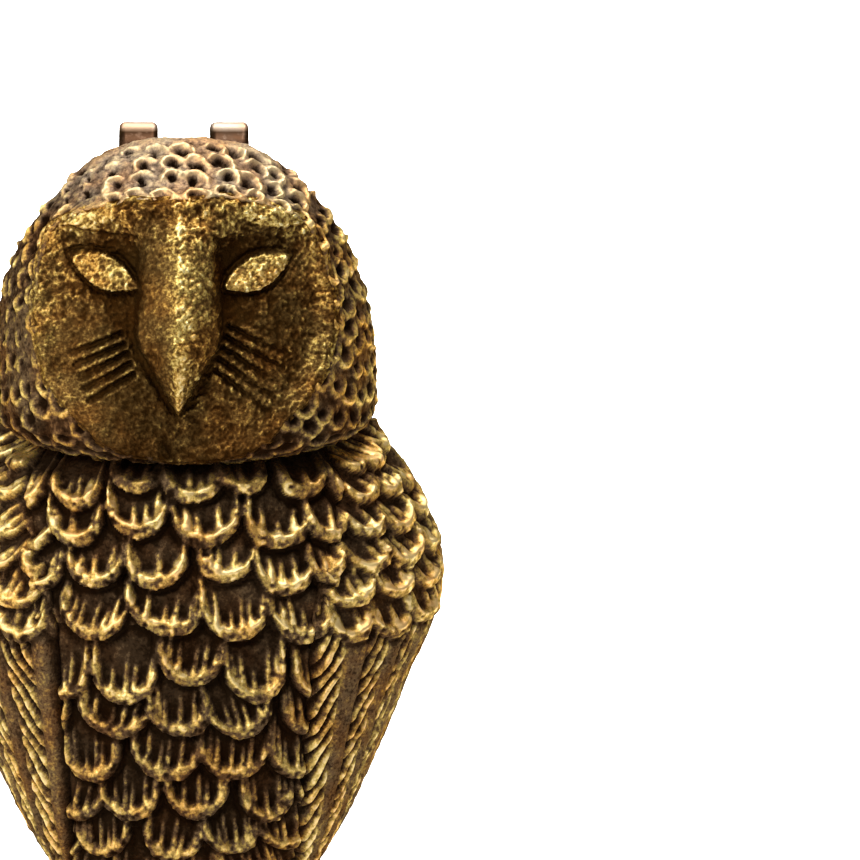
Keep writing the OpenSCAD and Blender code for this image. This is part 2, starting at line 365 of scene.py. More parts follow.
def toned(sheet, reach=1.3, gain=0.30):
    """How gilded each point is, with its painted light and shade, from the painted value and from how far it
    stands above its surroundings.
    """
    around = blurred(sheet.up, reach / PITCH)
    return np.clip(sheet.gilt_and_painted_light + gain * (sheet.up - around), 0, 1)


def raise_sheet(base, normal, sheet, inset, grain=0.07, seed=3):
    """The sheet's front: the form, the features slightly smoothed, and the casting's roughness."""
    sheet.up = 0.45 * sheet.up + 0.55 * blurred(sheet.up, 1)
    rough = (grain * (noise(base, 0.55, seed) + 1.2 * noise(base, 1.3, seed + 1))
             + 0.10 * noise(base, 3.0, seed + 2) + 0.10 * noise(base, 6.0, seed + 3))
    return base + normal * (sheet.up + rough - inset)[..., None]


# ---- breast

# Height of each row's tips, where one feather's centre is, and the distance between feathers.
BREAST_ROWS = [(17.6, 0.8, 8.4), (11.8, 3.3, 9.3), (5.4, -3.7, 9.3), (-2.4, -3.4, 11.0), (-10.2, 0.6, 9.3),
               (-16.2, -1.1, 10.0), (-22.6, -3.4, 9.9), (-29.3, 2.0, 9.6), (-35.0, -2.6, 9.2),
               (-41.0, 1.6, 8.4), (-46.5, -2.4, 7.6)]
BREAST_ACROSS, WING_ACROSS, TAIL_ACROSS = 44, 27, 36  # these set how fine each sheet's grid is
BREAST_REACH = 24.0  # feathers are placed as far as this to each side
BREAST_FEATHER = 11.5  # length of a breast feather
# Height, and arc length from the front's middle line to a wing's inner edge there.
WING_EDGE = np.array([(-47, 19.3), (-42, 18.5), (-36, 17.5), (-20, 17.5), (0, 18.5), (8, 20.1), (14, 22.4),
                      (24, 24.5)], float)


def grid_heights(low, high):
    """A sheet's rows, from the top down."""
    return np.linspace(high, low, int((high - low) / PITCH) + 1)


def wing_edge(heights):
    return np.interp(heights, WING_EDGE[:, 0], WING_EDGE[:, 1])


def breast():
    """The chest and belly, between the wings, from under the chin to the tops of the legs."""
    heights = grid_heights(-50, 24.5)
    rows, to_rim = body_rows(heights)
    half = np.interp(heights, [-50, -44, -36, 0, 12, 24.5], [14, 15.5, 18.5, 21.5, 22.5, 24])
    half = np.minimum(half, to_rim - 1.0)
    arcs = np.linspace(-1, 1, int(BREAST_ACROSS / PITCH))[None, :] * half[:, None]
    base, normal, sheet = body_sheet(rows, heights, arcs)
    for tip, centre, gap in reversed(BREAST_ROWS):
        count = int((BREAST_REACH + centre) // gap)
        low = ease((2 - tip) / 20)
        for k in range(-count - 1, count + 2):
            a = centre + k * gap + rng.uniform(-0.5, 0.5)
            b = tip + rng.uniform(-1.2, 1.2) - 0.02 * abs(a) ** 1.35
            width = gap * rng.uniform(0.93, 1.14)
            sheet.plume(a, b, rng.uniform(-0.21, 0.21) + 0.006 * a, width, BREAST_FEATHER,
                        seed=rng.uniform(0, 6), barbs=rng.choice([3, 4] if tip > 0 else [5, 6]),
                        reach=3.6 + 2.4 * low, fill=0.04 - 0.09 * low, recess=1.15, lift=1.0,
                        lip=0.26 - 0.05 * low)
    tuck = 3.5 * ease((heights - 19.5) / 5)[:, None]
    # Below the shoulders the breast dips under the wings' edges.
    under = ease((np.abs(arcs) - wing_edge(heights)[:, None] + 0.2) / 0.9) * ease((2 - heights) / 4)[:, None]
    sheet.up = sheet.up - tuck - 1.7 * under
    front = raise_sheet(base, normal, sheet, 1.1)
    # Painted light on the chest, painted shade on the top rows where the breast tucks under the chin, and
    # darker towards the belly.
    painted_shading = (1 + 0.10 * ease((heights + 4) / 8) - 0.75 * ease((heights - 18.3) / 3)
            - 0.22 * ease((-4 - heights) / 12))
    tone = toned(sheet) * painted_shading[:, None]
    return shell("owl_breast", front, tone, base - normal * (SHELL + tuck[..., None]))


# ---- wings

# Height of each covert row's tips at the wing's inner edge, its lean outwards and its feathers' width.
COVERT_ROWS = [(20.8, 0.85, 6.4), (16.8, 0.80, 7.4), (12.0, 0.72, 8.0), (6.8, 0.62, 8.4), (1.8, 0.46, 8.6),
               (-3.4, 0.24, 8.2)]
COVERT_FEATHER = 9.5  # length of a covert
PRIMARY_EDGES = [0.0, 0.28, 0.50, 0.68, 0.84, 1.001]  # shares of the wing's width


def wing(side):
    """One folded wing: rows of coverts at the shoulder, then long primaries that draw together at the tip."""
    heights = grid_heights(-47, 24)
    rows, to_rim = body_rows(heights)
    most = to_rim - 0.35
    inner = np.minimum(wing_edge(heights), most - 1.2)
    u = np.linspace(0, 1, int(WING_ACROSS / PITCH))[None, :]
    arcs = inner[:, None] + (most - inner)[:, None] * u
    base, normal, sheet = body_sheet(rows, heights, arcs)
    primaries(sheet, np.repeat(u, len(heights), 0), side)
    for tip, lean, width in reversed(COVERT_ROWS):
        for k in range(-1, 6):
            a = 21.0 + (k + 0.5 * (int(tip) % 2)) * width * 0.92 + rng.uniform(-0.4, 0.4)
            b = tip + rng.uniform(-0.6, 0.6) - 0.02 * (a - 20)
            sheet.plume(a + 2.6 * lean, b, lean + rng.uniform(-0.08, 0.08), width * rng.uniform(1.0, 1.1),
                        COVERT_FEATHER, seed=rng.uniform(0, 6), barbs=rng.choice([3, 4]), reach=5.2,
                        recess=1.3, lip=0.28, fill=-0.02)
    # Towards the outer border the wing is plain and a little raised.
    border = ease((u - 0.80) / 0.14) * ease((heights + 8) / 8)[:, None]
    sheet.up = sheet.up * (1 - 0.75 * border) + 0.62 * border
    sheet.gilt_and_painted_light = sheet.gilt_and_painted_light * (1 - 0.6 * border) + 0.20 * border
    edge = ease(u / 0.06) * 0.9 + 0.1
    shoulder = 3.2 * ease((heights - 20.0) / 4)[:, None] * (1 - 0.85 * ease((u - 0.5) / 0.3))
    sheet.up = sheet.up + 0.55 * edge - shoulder - 0.5 * (1 - edge)
    front = raise_sheet(base, normal, sheet, 1.15, seed=20)
    tone = (toned(sheet) + 0.04 + 0.09 * ease((heights + 6) / 6)[:, None]) * (0.35 + 0.65 * edge)
    behind = base - normal * (SHELL + shoulder[..., None])
    stay_forward(front)
    stay_forward(behind)
    front[..., 0] = np.minimum(front[..., 0], owl_high[0] - 0.03)  # inside the CAD box
    mirror = np.array([side, 1, 1])
    return shell("owl_wing_right" if side > 0 else "owl_wing_left", front * mirror, tone, behind * mirror)


def primaries(sheet, u, side):
    """Long flight feathers, each part smooth band and part slanting barbs."""
    z = sheet.along
    for k, (low, high) in enumerate(zip(PRIMARY_EDGES, PRIMARY_EDGES[1:])):
        t = (u - low) / (high - low)
        inside = (t >= 0) & (t < 1)
        share = t if side < 0 else 1 - t
        band = ease(share / 0.06) * ease((0.42 - share) / 0.06)
        vane = ease((share - 0.40) / 0.08) * ease((1 - share) / 0.08)
        spacing = 2.7 - 0.2 * k
        slant = np.abs(np.sin((z - 1.5 * sheet.across + 0.4 * np.sin(z * 0.7 + k)) * math.pi / spacing))
        barb = ease((slant - 0.38) / 0.5) * (1 - 0.08 * k)
        line = bell((share - 0.43) / 0.06) * (0.6 + 0.5 * sheet.ragged)
        height = 0.35 + 0.45 * band + vane * (1.15 * barb - 0.55) - 0.50 * bell(t / 0.07)
        value = 0.22 + 0.02 * band + 0.34 * line + vane * (0.74 * barb * (0.75 + 0.5 * sheet.speck) - 0.15)
        sheet.up = np.where(inside, height + 0.06 * sheet.speck, sheet.up)
        sheet.gilt_and_painted_light = np.where(inside, value, sheet.gilt_and_painted_light)


# ---- head

FACE_Z, FACE_W, FACE_H = 40.6, 20.6, 17.6  # centre height, half width and half height of the facial disc
FEATURE_X = -0.80  # the eyes and nose sit a little left of the disc's middle
EYE_X, EYE_Z, EYE_TILT = 10.8, 48.3, 0.40
EYE_LONG, EYE_TALL = 5.25, 2.4  # half length and half height of an eye
WHISKERS = 5  # on each side
BEAK_TIP = 29.6
DISC_DEPTH = 23.2  # from the rim to the middle of the dish
DISC_REACH = 1.035  # the face runs this far beyond the disc's outline
RING_GAP, SCALE_PITCH = 3.3, 4.1  # between rings of scales, and between scales in a ring
SCALE_WIDTH, SCALE_LENGTH = 4.5, 5.4
HEAD_ROUND, HEAD_BACK = 150, 26  # these set how fine its grid is


def head_depth(x, z):
    """How far the head's smooth form stands in front of the rim at x, z."""
    up = z - HEAD_Z
    tall = np.where(up > 0, HEAD_H, CHIN_H)
    left = 1 - np.abs(x / HEAD_W) ** POWER - np.abs(up / tall) ** POWER
    return HEAD_D * np.maximum(left, 0) ** (1 / POWER)


def disc_edge(theta):
    """The facial disc's outline: broad above, narrower and rounder below."""
    c, s = np.cos(theta), np.sin(theta)
    power = 2.5 + 0.55 * ease(1.6 * s) - 0.35 * ease(-1.5 * s)
    r = (np.abs(c) ** power + np.abs(s) ** power) ** (-1 / power)
    r = r * (1 + 0.010 * np.sin(5 * theta + 1) + 0.008 * np.sin(11 * theta) + 0.006 * np.sin(23 * theta + 2))
    narrow = 1 - 0.12 * ease(-s * r)
    return FACE_W * narrow * r * c, FACE_Z + FACE_H * r * s


def on_head(start, heading):
    """Where rays from inside the head meet its smooth form."""
    low = np.zeros(heading.shape[:-1])
    high = np.full(heading.shape[:-1], 60.0)
    for _ in range(40):
        middle = (low + high) / 2
        point = start + heading * middle[..., None]
        up = point[..., 2] - HEAD_Z
        tall = np.where(up > 0, HEAD_H, CHIN_H)
        size = (np.abs(point[..., 0] / HEAD_W) ** POWER + np.abs(up / tall) ** POWER
                + np.abs((-point[..., 1] - RIM) / HEAD_D) ** POWER)
        low = np.where(size < 1, middle, low)
        high = np.where(size < 1, high, middle)
    return start + heading * ((low + high) / 2)[..., None]


class Draped(Sheet):
    """A sheet whose features are placed by points and directions in space instead of sheet coordinates."""

    def __init__(self, base, normal):
        super().__init__(base)
        self.base, self.normal = base, normal

    def local(self, at, facing, heading, width, length):
        aside = np.cross(facing, heading)
        offset = self.base - at
        along = offset @ heading
        near = (np.linalg.norm(offset, axis=-1) < 1.6 * length) & (self.normal @ facing > 0.2)
        return np.where(near, (offset @ aside) / (width / 2), 9.0), 1 + along / length


def cowl():
    """The feathered head round the facial disc: rings of pitted scales from the disc's edge back to the rim."""
    columns = int(HEAD_ROUND / PITCH)
    theta = np.linspace(-0.5 * math.pi, 1.5 * math.pi, columns)
    steps = int(HEAD_BACK / PITCH)
    start = np.array([0, -RIM - 1.0, FACE_Z - 4])
    edge_x, edge_z = disc_edge(theta)
    edge = np.stack([edge_x, -RIM - head_depth(edge_x, edge_z), edge_z], -1)
    inner = unit(edge - start)
    flat = np.stack([np.cos(theta), np.zeros(columns), np.sin(theta)], -1)
    # The last ring lies on the rim: turn each ray towards the door until it meets the rim there.
    low, high = np.zeros(columns), np.ones(columns)
    for _ in range(30):
        middle = (low + high) / 2
        outer = unit(inner * (1 - middle[:, None]) + (flat + np.array([0, 0.35, 0])) * middle[:, None])
        point = on_head(start, outer)
        front_of_rim = -point[:, 1] > rim_at(point[:, 2]) + 0.3
        low = np.where(front_of_rim, middle, low)
        high = np.where(front_of_rim, high, middle)
    share = np.linspace(0, 1, steps)[:, None, None]
    base = on_head(start, unit(inner[None] * (1 - share) + outer[None] * share))
    normal = normals_of(base)
    if np.sum(normal * (base - start)) < 0:
        normal = -normal
    sheet = Draped(base, normal)
    travel = travelled(base)
    scale_rows(sheet, travel, theta)
    # The scales are calmer beside the disc; a ruff stands round its top; the crown ends in a plain band.
    calm = 1 - 0.36 * ease((50 - base[..., 2]) / 9)
    sheet.up *= calm
    sheet.gilt_and_painted_light = 0.32 + (sheet.gilt_and_painted_light - 0.32) * calm
    ruff = bell(travel / 1.5)
    brow = ease((np.sin(theta)[None, :] + 0.2) / 0.8)
    band = ease((travel - travel[-1:] + 2.2) / 0.8) * ease((np.sin(theta) - 0.8) / 0.1)[None, :]
    sheet.up = sheet.up * (1 - band) + 0.5 * band + (0.10 + 0.85 * brow) * ruff
    sheet.gilt_and_painted_light = sheet.gilt_and_painted_light * (1 - band) + 0.34 * band + 0.32 * ruff * brow
    # Painted shade on the scales just below the disc's lower edge; painted light on the crown's top and painted
    # shade low on the head, under the chin.
    sheet.gilt_and_painted_light -= 0.22 * ease((-np.sin(theta) - 0.55) / 0.3)[None, :] * ease((5 - travel) / 4)
    sheet.gilt_and_painted_light = sheet.gilt_and_painted_light + 0.13 * ease((base[..., 2] - 54) / 5) - 0.14 * ease((29 - base[..., 2]) / 5)
    front = raise_sheet(base, normal, sheet, 0.55, grain=0.12, seed=40)
    behind = base - normal * SHELL
    for points in (front, behind):
        stay_forward(points, rim_at(points[..., 2]))
    tone = toned(sheet, reach=0.9, gain=0.45)
    front[:, -1], behind[:, -1], tone[:, -1] = front[:, 0], behind[:, 0], tone[:, 0]
    return shell("owl_head", front, tone, behind, closed_round=True)


def scale_rows(sheet, travel, theta):
    """Scales in rings, the outermost first, so that each lies over the next one out."""
    for ring in range(int(travel[-1].max() / RING_GAP) + 1, -1, -1):
        out = 1.0 + ring * RING_GAP
        row = np.argmin(np.abs(travel - out), axis=0)
        reached = travel[-1] > out - 1.2
        line = sheet.base[row, np.arange(len(theta))]
        around = travelled(line)
        count = int(around[-1] / SCALE_PITCH)
        for k in range(count):
            place = (k + 0.5 * (ring % 2) + rng.uniform(-0.21, 0.21)) * around[-1] / count
            i = int(np.searchsorted(around, place)) % len(theta)
            if not reached[i]:
                continue
            at, facing = line[i], sheet.normal[row[i], i]
            on_right = theta[i] < math.pi / 2
            turn = theta[i] if on_right else math.pi - theta[i]
            lean = max(-1.35, math.pi / 2 - (math.pi / 2 - turn) * 1.75)
            heading = np.array([math.cos(lean) * (1 if on_right else -1), 0.0, math.sin(lean)])
            heading += np.array([rng.uniform(-0.1, 0.1), 0, rng.uniform(-0.1, 0.1)])
            heading = unit(heading - facing * heading.dot(facing))
            size = rng.uniform(0.84, 1.20)
            width, length = SCALE_WIDTH * size, SCALE_LENGTH * size
            p, q = sheet.local(at + heading * 1.7, facing, heading, width, length)
            paint_pit(sheet, p, q, width, length, rng.uniform(0, 6))


def face():
    """The facial disc: a stippled dish with almond eyes, whiskers and a broad nose that ends in the beak."""
    count = int(64 / PITCH)
    u, v = np.meshgrid(np.linspace(-1, 1, count), np.linspace(1, -1, int(count * 0.85)))
    cx, cz = u * np.sqrt(1 - v * v / 2), v * np.sqrt(1 - u * u / 2)
    share = np.hypot(cx, cz)
    theta = np.arctan2(cz, cx)
    edge_x, edge_z = disc_edge(theta)
    x = share * edge_x * DISC_REACH
    z = FACE_Z + share * (edge_z - FACE_Z) * DISC_REACH
    out = share * DISC_REACH
    edge_depth = head_depth(edge_x, edge_z)
    depth = edge_depth + (DISC_DEPTH - edge_depth) * np.maximum(0, 1 - out**2)
    rim_drop = 1.7 - 0.9 * ease((-np.sin(theta) - 0.3) / 0.5)
    depth -= rim_drop * ease((1.0 - out) / 0.16) + 1.0 * ease((out - 0.99) / 0.04)
    # Painted shade deepens the dish towards its middle and on its right side, and painted light brightens its
    # rim, most at the top and not at all at the bottom.
    gilt_and_painted_light = 0.32 - 0.14 * ease((1 - out) / 0.45) - 0.04 * ease((x - 6) / 6)
    gilt_and_painted_light += 0.18 * ease((out - 0.82) / 0.12) * ease((z - 28) / 6) * (0.5 + 0.5 * ease((z - 44) / 10))
    ax = np.abs(x - FEATURE_X)
    # Sockets beside the bridge, and the brow over them.
    socket = bell((ax - 8.2) / 4.4, (z - 49.0) / 4.6)
    beside = bell((ax - 7.4) / 2.0, (z - 43.0) / 7.0)
    depth -= 1.6 * socket + 0.85 * beside
    # The sockets and the hollows beside the bridge are darkened with painted shade.
    gilt_and_painted_light -= 0.34 * socket + 0.26 * beside
    brow = bell((ax - 9.0 - 0.25 * (z - 54)) / 8.0, (z - 55.2) / 2.0)
    ledge = (ease(z - 53.0 - 0.10 * (ax - 8)) * (1 - ease((z - 55.6) / 3.0))
             * ease((18.5 - ax) / 4) * ease((ax - 3) / 3))
    depth += 0.4 * brow + 0.9 * ledge
    gilt_and_painted_light += 0.08 * brow + 0.15 * ledge
    depth, gilt_and_painted_light = add_eye(depth, gilt_and_painted_light, np.where(x < FEATURE_X, ax + 0.6, ax), z)
    depth, gilt_and_painted_light = add_whiskers(depth, gilt_and_painted_light, x - FEATURE_X, z)
    depth, gilt_and_painted_light = add_nose(depth, gilt_and_painted_light, x - FEATURE_X, z)
    # Painted shade at the bottom of the face, below the beak's tip.
    gilt_and_painted_light -= 0.20 * ease((29 - z) / 7)
    base = np.stack([x, -RIM - depth, z], -1)
    normal = normals_of(base)
    if np.sum(normal[..., 1]) > 0:
        normal = -normal
    # The stipple is coarser over the brow and dies away low on the face and left of the bridge.
    smooth = ease((np.maximum(-x / 12, 0) + (38 - z) / 30) / 1.2) * ease((BEAK_TIP + 16 - z) / 8)
    left_of_bridge = ease((FEATURE_X - x) / 0.8) * ease((6.5 - ax) / 1.5) * ease((z - 33) / 4)
    smooth = np.maximum(smooth, 0.9 * left_of_bridge)
    stipple = ((0.16 * noise(base, 0.38, 61) + 0.14 * noise(base, 0.66, 62))
               * (1 - 0.55 * smooth + 0.4 * ease((z - 50) / 4)))
    front = base + normal * stipple[..., None]
    tone = np.clip(gilt_and_painted_light + 1.7 * stipple - 0.05 * smooth, 0, 1)
    behind = base + np.array([0, 2.4, 0])
    return shell("owl_face", front, tone, behind)


def add_eye(depth, gilt_and_painted_light, ax, z):
    """A raised almond, its outer corner high, in a narrow sunken rim."""
    c, s = math.cos(EYE_TILT), math.sin(EYE_TILT)
    along = ((ax - EYE_X) * c + (z - EYE_Z) * s) / EYE_LONG
    aside = (-(ax - EYE_X) * s + (z - EYE_Z) * c) / EYE_TALL
    lens = 1 - along**2 - np.abs(aside) ** 1.35 * (1 + 0.25 * along**2)
    eye = ease(lens / 0.22)
    trench = bell((lens + 0.17) / 0.17)
    depth = depth + eye * (1.25 + 0.35 * np.clip(lens, 0, 1)) - 0.42 * trench
    edge = bell((lens - 0.16) / 0.13)
    return depth, gilt_and_painted_light * (1 - eye) + eye * (0.57 + 0.2 * edge) - 0.13 * trench


def add_whiskers(depth, gilt_and_painted_light, x, z):
    """Grooves that fan outwards and down from beside the beak, steeper on the right."""
    ks = range(WHISKERS)
    right = [((7.0 - 0.48 * k, 41.1 - 1.42 * k), (14.9 - 0.62 * k, 37.3 - 1.90 * k)) for k in ks]
    left = [((-7.9 + 0.42 * k, 40.1 - 1.30 * k), (-14.8 + 0.65 * k, 37.3 - 1.52 * k)) for k in ks]
    for start, end in right + left:
        run = np.subtract(end, start)
        t = np.clip(((x - start[0]) * run[0] + (z - start[1]) * run[1]) / run.dot(run), 0, 1)
        away = np.hypot(x - start[0] - t * run[0], z - start[1] - t * run[1])
        painted_shading = 1 - 0.5 * t
        groove = bell(away / 0.36) * painted_shading
        bank = bell((away - 0.70) / 0.28) * painted_shading
        depth = depth - 0.66 * groove + 0.26 * bank
        gilt_and_painted_light = gilt_and_painted_light - 0.24 * groove + 0.20 * bank
    return depth, gilt_and_painted_light


def add_nose(depth, gilt_and_painted_light, x, z):
    """The nose widens from the crest between the brows to the beak, which narrows to a point below."""
    ax = np.abs(x)
    half = np.interp(z, [BEAK_TIP - 0.1, BEAK_TIP, 37.6, 38.6, 40.5, 47.5, 51, 54, 58.5],
                     [0.01, 0.35, 4.9, 5.6, 6.1, 5.7, 5.6, 7.2, 12.0])
    tall = np.interp(z, [BEAK_TIP - 0.1, BEAK_TIP, 34, 38, 44, 50, 55, 58.5],
                     [0, 3.3, 5.0, 5.4, 4.7, 3.3, 2.0, 0.9])
    across = np.clip(ax / half, 0, 1.5)
    beak = ease((38.8 - z) / 1.2)
    crest = np.maximum(0, 1 - np.sqrt(across**2 + 0.05)) / 0.776
    roof = (0.66 + 0.34 * crest ** 1.1) * (1 - beak) + (0.38 + 0.62 * crest) * beak
    wall = ease((half - ax) / (0.9 + 0.5 * (z > 44) + 4.0 * ease((z - 50) / 6)) + 0.15)
    lift = tall * roof * wall
    line = bell(x / 1.5)
    foot = bell((ax - half - 0.5) / 0.6) * ease((z - BEAK_TIP + 1) / 2) * ease((52 - z) / 5)
    flank = 0.14 * ease((x + 0.8) / 1.6) - 0.08
    gilt_and_painted_light = gilt_and_painted_light * (1 - wall) + wall * (0.34 + 0.24 * line + 0.08 * crest + flank) - 0.30 * foot
    return depth + lift - 0.35 * foot, gilt_and_painted_light


# ---- cast body, tail, legs and perch

HOLLOW_Z = -50.0  # below this height the casting is solid
CAST_LOW, CAST_COLUMNS = -66.8, 64  # where the cast body starts, and how many faces it has across
CAST_ROWS, CROWN_ROWS = 96, 40  # its sections below the head's widest line and above it


def cast_body():
    """The casting behind the feathers: its outer skin a little under them, its hollow, and the rear rim."""
    def section(w, d, z):
        rim = rim_at(z)
        cut = np.clip((rim - RIM) / max(d, 0.001), 0, 1)
        start = math.asin(cut ** (POWER / 2))
        turn = np.linspace(start, math.pi - start, CAST_COLUMNS + 1)
        x = -w * np.sign(np.cos(turn)) * np.abs(np.cos(turn)) ** (2 / POWER)
        y = np.maximum(rim, RIM + d * np.maximum(np.sin(turn), 0) ** (2 / POWER))
        return np.stack([x, -y, np.full(len(x), z)], -1)

    def skin(extra, hollow):
        rings = []
        for z in np.linspace(CAST_LOW, HEAD_Z, CAST_ROWS)[:-1]:
            inset = 2.6 + 2.6 * ease((z - 12) / 8) - 1.0 * ease((-52 - z) / 6) + extra
            depth = station(z, 2) - inset
            depth = max(0.05, depth * ease((z - HOLLOW_Z) / 6)) if hollow else max(0.4, depth)
            rings.append(section(max(0.5, station(z, 1) - inset), depth, z))
        for share in np.linspace(0, 0.97, CROWN_ROWS):
            wide, tall, deep = HEAD_W - 3.0 - extra, HEAD_H - 2.4 - extra, HEAD_D - 8.2 - extra
            turn = share * math.acos(((CROWN_RIM - RIM) / deep) ** (POWER / 2))
            inward = math.cos(turn) ** (2 / POWER)
            rings.append(section(wide * inward, deep * inward, HEAD_Z + tall * math.sin(turn) ** (2 / POWER)))
        return np.array(rings)

    outer, inner = skin(0.0, False), skin(1.2, True)
    rough = 0.16 * noise(inner, 2.2, 71) + 0.10 * noise(inner, 0.9, 72)
    inner[:, 1:-1, 1] += rough[:, 1:-1] * 0.8 * (inner[:, 1:-1, 1] < -rim_at(inner[:, 1:-1, 2]) - 0.5)
    tone = np.full(outer.shape[:2], 0.22)
    return shell("owl_cast_body", outer, tone, inner, coarse=1)


def tail():
    """Long tail feathers below the perch, the middle one over its neighbours."""
    heights = grid_heights(-67.6, -43)
    rows, to_rim = body_rows(heights)
    arcs = np.linspace(-1, 1, int(TAIL_ACROSS / PITCH))[None, :] * (to_rim - 0.3)[:, None]
    base, normal, sheet = body_sheet(rows, heights, arcs)
    width, length = 5.6, 27
    for k in (3, -3, 2, -2, 1, -1, 0):
        lean = -0.10 * k
        a, b = 2.6 * k, -67.2 + 0.9 * abs(k) ** 1.3
        sheet.plume(a, b, lean, width, length, rim=0.35, recess=0.40, barbs=1, reach=22, seed=k)
        p, q = sheet.local(a, b, lean, width, length)
        slant = np.abs(np.sin((sheet.along + 1.3 * np.abs(p) * 2.6) * math.pi / 1.5))
        vane = (np.abs(p) < 0.75) * (np.abs(p) > 0.16) * (q < 0.93) * (q > 0)
        sheet.up += 0.16 * slant * vane
        sheet.gilt_and_painted_light += 0.22 * slant * vane
    sheet.up -= 3.0 * ease((heights + 46.5) / 3)[:, None]
    front = raise_sheet(base, normal, sheet, 1.0, seed=50)
    behind = base - normal * np.minimum(1.6, 0.5 * station(heights, 2))[:, None, None]
    stay_forward(front)
    stay_forward(behind, gap=0.15)
    return shell("owl_tail", front, toned(sheet), behind)


_, PERCH_Y, PERCH_Z = (perch_low + perch_high) / 2
PERCH_R = 4.2
SAWN_RINGS = 14  # growth rings on each end of the perch
FOOT_X = 8.0
LEG_POINTS, LEG_SIDES = 46, 60
TOE_POINTS, TOE_SIDES = 64, 24
TOE_TURN = (108, -88)  # degrees round the perch, from the back of the toe to its claw
CLAW_AT = 0.76  # share of a toe's length where its claw starts


def perch():
    """A short branch: bark in long broken ridges, two knots, and flat sawn ends with rings."""
    ring = np.arange(SAWN_RINGS)
    sawn = perch_high[0] - 0.42 + 0.025 * ring + 0.04 * (-1.0) ** ring
    xs = np.concatenate([-sawn[::-1], np.linspace(perch_low[0] + 0.7, perch_high[0] - 0.7, 170), sawn])
    radii = PERCH_R + 0.15 * np.sin(xs * 0.33) + 0.55 * bell((np.abs(xs) - 15.0) / 1.5)
    end = PERCH_R * (0.96 - 0.07 * ring)
    radii[:SAWN_RINGS], radii[-SAWN_RINGS:] = end[::-1], end
    path = np.stack([xs, np.full(len(xs), PERCH_Y), PERCH_Z + 0.12 * np.sin(xs * 0.21)], -1)
    steps = travelled(path)
    bark_from, bark_to = steps[SAWN_RINGS - 1], steps[-SAWN_RINGS]

    def bark(step, turn):
        on_side = ease(min(step - bark_from, bark_to - step) / 0.8)
        spot = np.stack([0 * turn + step * 0.28, PERCH_R * np.cos(turn), PERCH_R * np.sin(turn)], -1)
        ridge = np.abs(noise(spot, 0.9, 80))
        return on_side * (0.34 * (0.55 - ridge) - 0.10 + 0.10 * noise(spot * [1, 2, 2], 0.8, 81))

    def shade(step, turn):
        if bark_from < step < bark_to:
            return 0.42 + 1.3 * bark(step, turn)
        return np.full(turn.shape, 0.42 + 0.14 * math.cos(math.pi * np.searchsorted(steps, step)))

    return tube("owl_perch", path, radii, 96, bark, shade)


def foot(side):
    """A feathered leg and three toes with knuckles and claws, closed round the perch."""
    name = "owl_foot_right" if side > 0 else "owl_foot_left"
    x = side * FOOT_X

    def feathering(step, turn):
        row = step / 1.9
        scallop = np.abs(np.sin(turn * 5 + math.pi / 2 * (int(row) % 2)))
        return 0.55 * (row % 1.0) * scallop ** 0.6 - 0.15

    ts = np.linspace(0, 1, LEG_POINTS)
    path = np.stack([np.full(len(ts), x), PERCH_Y + 5.6 - 4.0 * ts, PERCH_Z + 14.0 - 9.3 * ts], -1)
    radii = np.interp(ts, [0, 0.25, 0.75, 0.96, 1], [4.4, 4.9, 3.9, 3.2, 1.2])
    leg = tube(name, path, radii, LEG_SIDES, feathering, lambda step, turn: 0.30 + feathering(step, turn))
    toes = []
    for k in (-1, 0, 1):
        angles = np.radians(np.linspace(*TOE_TURN, TOE_POINTS))
        ts = np.linspace(0, 1, TOE_POINTS)
        spread = k * (2.2 + 1.15 * np.sin(np.clip(ts, 0, 0.8) * math.pi / 1.6))
        bend_r = PERCH_R + 1.05 + 0.15 * np.sin(ts * 6)
        path = np.stack([x + spread, PERCH_Y - bend_r * np.cos(angles), PERCH_Z + bend_r * np.sin(angles)], -1)
        knuckle = 0.17 * np.cos(ts * 2 * math.pi * 3.0)
        radii = 1.45 * (1 + knuckle) * (1 - 0.25 * ts)
        radii = np.where(ts > CLAW_AT, 0.95 * (1 - (ts - CLAW_AT) / 0.25) ** 0.8 + 0.06, radii)

        def scutes(step, turn):
            return 0.07 * np.sin(step * math.pi / 0.55) * np.cos(turn) ** 2

        toes.append(tube(name + "_toe", path, radii, TOE_SIDES, scutes,
                         lambda step, turn: 0.62 + 3.0 * scutes(step, turn)))
    bpy.ops.object.select_all(action="DESELECT")
    for piece in toes + [leg]:
        piece.select_set(True)
    bpy.context.view_layer.objects.active = leg
    bpy.ops.object.join()
    return leg


# ---- materials

PATINA = (1.0, 0.80, 0.66)  # multiplies the colour in patches
BUMP_DEPTH = 0.14  # in mm, of the grain in the metal
SHEEN = (0.46, 0.39, 0.31)  # tint of the metal's reflections at a glancing angle


